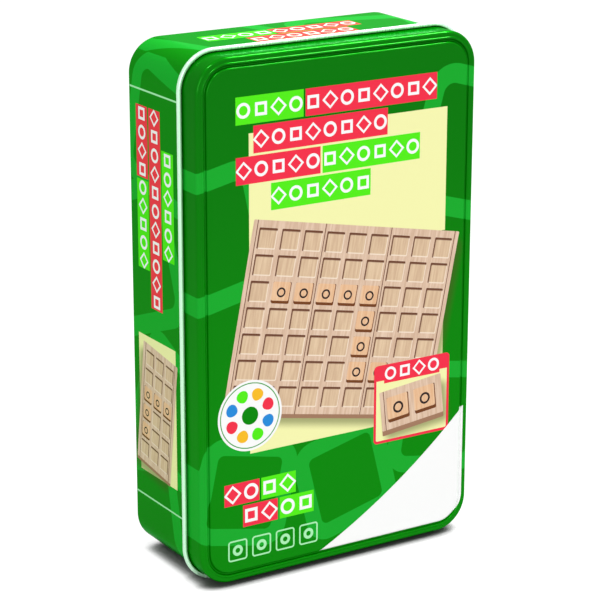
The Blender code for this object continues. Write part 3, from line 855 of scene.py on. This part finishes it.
lid_path += [*shoulder[1:-1], *flat(shoulder[-1], flare[0]), *flare[1:], *curl]
tin_lid = drawn_sheet("tin_lid_drawn", lid_path, [lid_print, bare_tin], "first")
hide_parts("tin_lid")
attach(tin_lid, "lid")


# A plain studio: a pale floor that keeps the object's contact shadow, soft lamps, and a camera at
# the photograph's viewing angle.
FLOOR_HALF_SIDE = 3
FLOOR_COLOUR = (0.4, 0.4, 0.4)
SEEN_FLOOR_COLOUR = (0.15, 0.15, 0.15)
FLOOR_GLOW = 1.0
CONTACT_REACH = 0.009
CONTACT_SHARES = (0.4, 0.82)  # how open to the light a point is where it turns from black to white
LIGHT_FROM_WORLD = 0.42
SEEN_WORLD = 1.0
floor_mesh = bmesh.new()
bmesh.ops.create_grid(floor_mesh, x_segments=1, y_segments=1, size=FLOOR_HALF_SIDE)
floor_finish = Finish("studio_floor")
rays = {wire.output.name: wire for wire in floor_finish.node("ShaderNodeLightPath", output=None)}
seen = rays["Is Camera Ray"] | rays["Is Glossy Ray"] | rays["Is Transmission Ray"]
plain = floor_finish.node("ShaderNodeBsdfDiffuse", {}, {"Color": FLOOR_COLOUR})
dim = floor_finish.node("ShaderNodeBsdfDiffuse", {}, {"Color": SEEN_FLOOR_COLOUR})
open_to_light = floor_finish.node(
    "ShaderNodeAmbientOcclusion", {"samples": 8}, {"Distance": CONTACT_REACH}, 1
)
glow = open_to_light.soft(*CONTACT_SHARES) * FLOOR_GLOW
white = floor_finish.node("ShaderNodeEmission", {}, {"Strength": glow})
bright = floor_finish.node("ShaderNodeAddShader", {}, [dim, white])
shown = floor_finish.node("ShaderNodeMixShader", {}, [seen, plain, bright])
floor_finish.join(shown, floor_finish.tree.nodes["Material Output"].inputs["Surface"])
floor = finished(floor_mesh, "studio_floor", [floor_finish], smooth=False)

world = bpy.data.worlds.new("studio")
world.use_nodes = True
bpy.context.scene.world = world
nodes, links = world.node_tree.nodes, world.node_tree.links
light_path = nodes.new("ShaderNodeLightPath")
seen = light_path.outputs["Is Camera Ray"]
for ray in ("Is Glossy Ray", "Is Transmission Ray"):
    either = nodes.new("ShaderNodeMath")
    either.operation = "MAXIMUM"
    links.new(seen, either.inputs[0])
    links.new(light_path.outputs[ray], either.inputs[1])
    seen = either.outputs[0]
strength = nodes.new("ShaderNodeMapRange")
strength.inputs["To Min"].default_value = LIGHT_FROM_WORLD
strength.inputs["To Max"].default_value = SEEN_WORLD
links.new(seen, strength.inputs["Value"])
sky = nodes["Background"]
sky.inputs["Color"].default_value = (1, 1, 1, 1)
links.new(strength.outputs[0], sky.inputs["Strength"])

LAMPS = {  # each one's place in metres, power in watts and side in metres
    "key": ((0.6, -0.14, 1.15), 16.5, 0.3),
    "corner": ((-0.36, -0.36, 1.2), 5, 0.2),
    "fill": ((-0.88, -1.28, 0.52), 6, 0.8),
}
for name, (place, power, side_length) in LAMPS.items():
    lamp = bpy.data.lights.new(name, "AREA")
    lamp.energy, lamp.size = power, side_length
    holder = bpy.data.objects.new(name, lamp)
    bpy.context.scene.collection.objects.link(holder)
    holder.location = place
    to_tin = Vector((0, 0, MIDDLE_Z)) - Vector(place)
    holder.rotation_euler = to_tin.to_track_quat("-Z", "Y").to_euler()

# The camera's numbers were fitted to the edges of the tin in the photograph.
CAMERA_AZIMUTH, CAMERA_ELEVATION, CAMERA_ROLL = -32.043, 17.080, 0.091
CAMERA_DISTANCE = 1.056729
CAMERA_TARGET = Vector((-0.012873, RIM_Y + SKIRT_DEPTH, MIDDLE_Z + 0.002701))
IMAGE_SIDE = 600
FOCAL_PIXELS = 2352.063
SENSOR_WIDTH = 36
azimuth, elevation, roll = (
    math.radians(angle) for angle in (CAMERA_AZIMUTH, CAMERA_ELEVATION, CAMERA_ROLL)
)
level = Vector((math.sin(azimuth), -math.cos(azimuth), 0))
towards = level * math.cos(elevation) + Vector((0, 0, math.sin(elevation)))
side_on = Vector((0, 0, 1)).cross(towards).normalized()
upwards = towards.cross(side_on)
right = math.cos(roll) * side_on + math.sin(roll) * upwards
up = math.cos(roll) * upwards - math.sin(roll) * side_on
camera = bpy.data.objects.new("camera", bpy.data.cameras.new("camera"))
bpy.context.scene.collection.objects.link(camera)
basis = Matrix((right, up, towards)).transposed().to_4x4()
camera.matrix_world = Matrix.Translation(CAMERA_TARGET + towards * CAMERA_DISTANCE) @ basis
camera.data.sensor_width = SENSOR_WIDTH
camera.data.lens = FOCAL_PIXELS / IMAGE_SIDE * SENSOR_WIDTH
bpy.context.scene.camera = camera
bpy.context.scene.view_settings.view_transform = "Standard"
